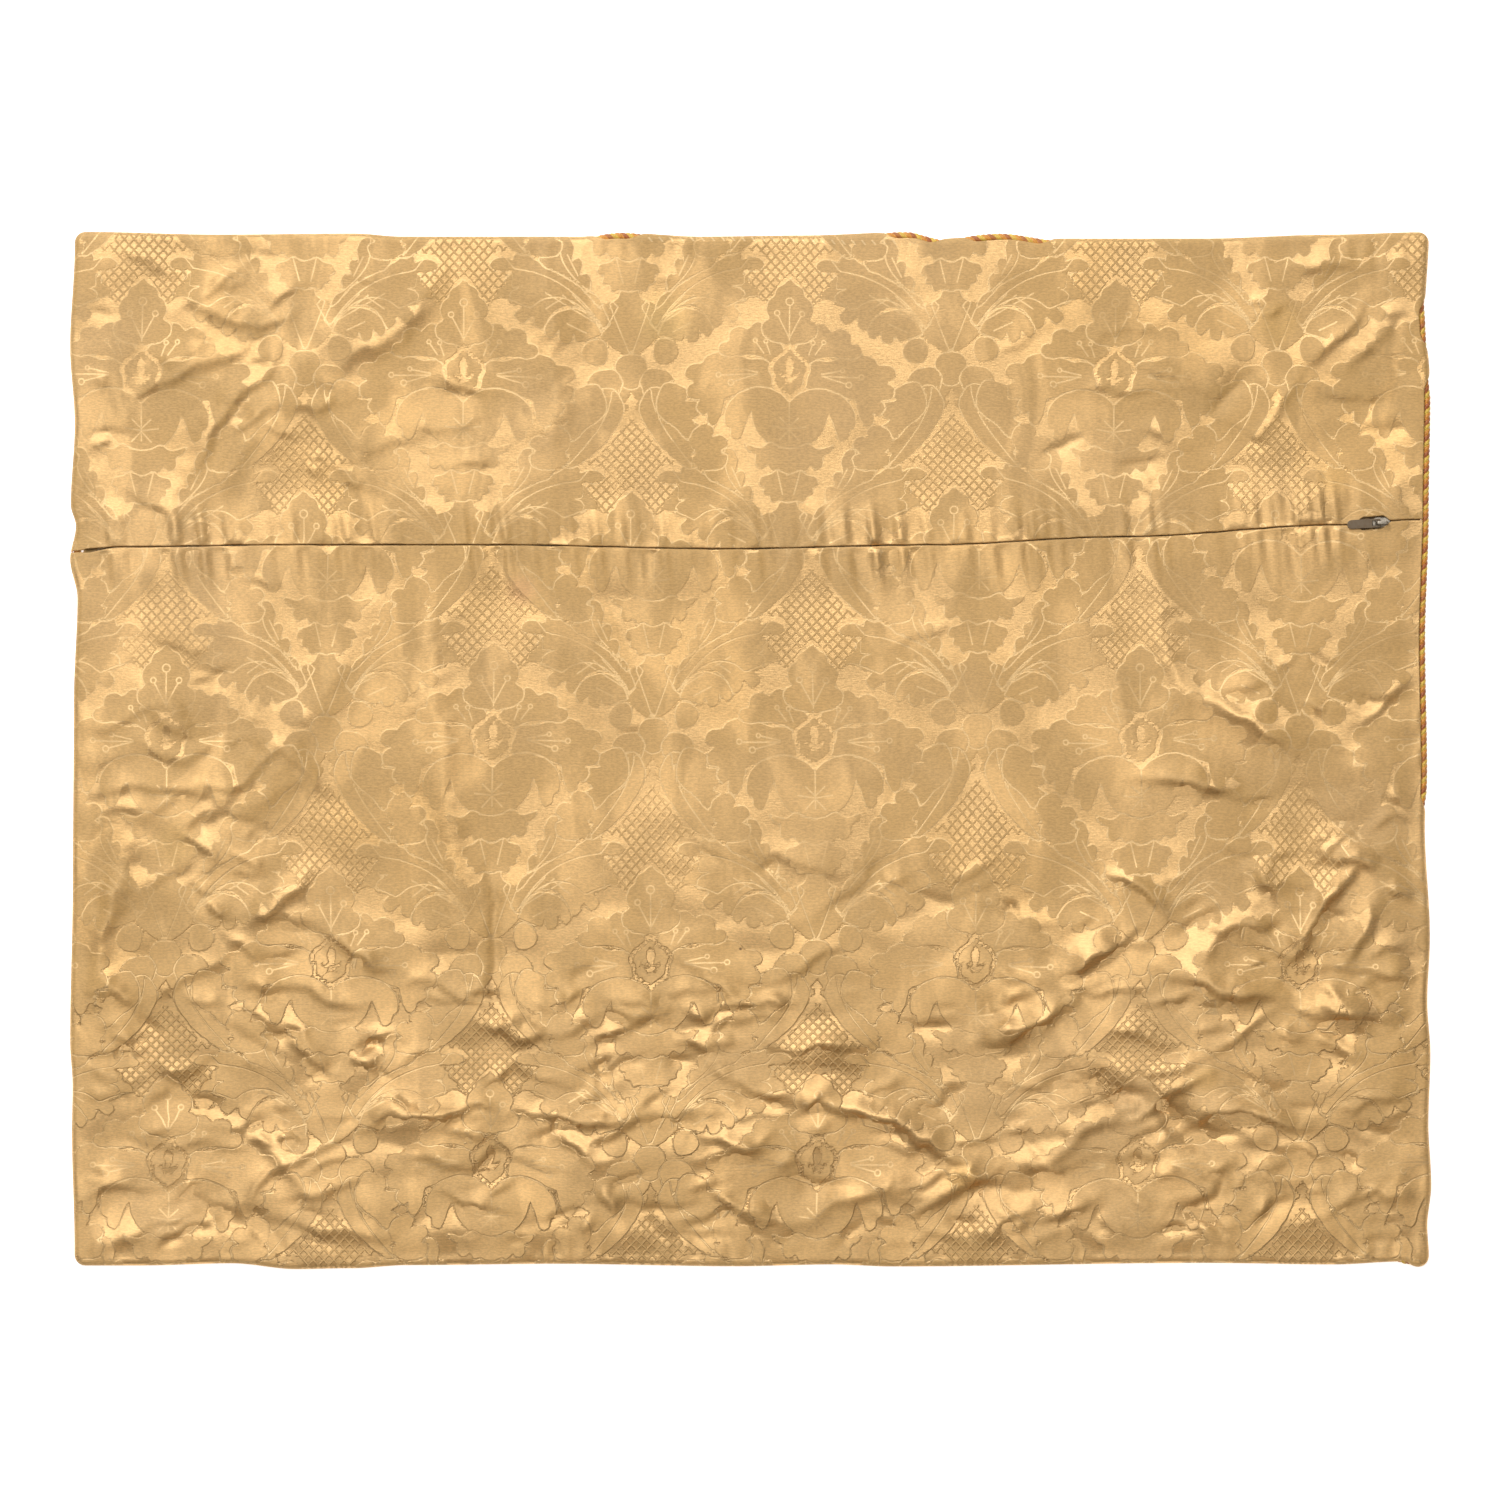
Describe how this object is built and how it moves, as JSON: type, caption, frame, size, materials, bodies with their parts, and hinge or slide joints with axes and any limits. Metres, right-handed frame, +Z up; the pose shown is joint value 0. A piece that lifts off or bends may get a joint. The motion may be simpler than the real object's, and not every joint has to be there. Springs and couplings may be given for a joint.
{
  "type": "cushion cover",
  "caption": "Empty rectangular cushion cover in gold damask, lying flat on its front, with a concealed zip across the back and a twisted cord in its edge seam.",
  "frame": {"origin": "centre of the cover's outline, on the surface that it lies on", "axes": "+Z up from that surface out of the back, +X along the long side towards the end where the zip pull sits, +Y towards the long side next to the zip"},
  "size_m": [0.6116, 0.4662, 0.0112],
  "materials": {
    "back_silk": "gold silk damask, satin ground with matt figure",
    "front_silk": "gold silk, plain",
    "cord_yarn": "yellow, orange and rust yarn twisted into a cord",
    "zip_cloth": "woven tape with moulded coils",
    "slider_metal": "bright zinc alloy",
    "pull_enamel": "taupe enamel"
  },
  "bodies": {
    "root": {"front_panel": "front_silk", "back_lower": "back_silk", "back_upper": "back_silk", "trim_cord": "cord_yarn", "zip_tape": "zip_cloth", "zip_slider": "slider_metal", "zip_pull": "pull_enamel"}
  },
  "joints": []
}
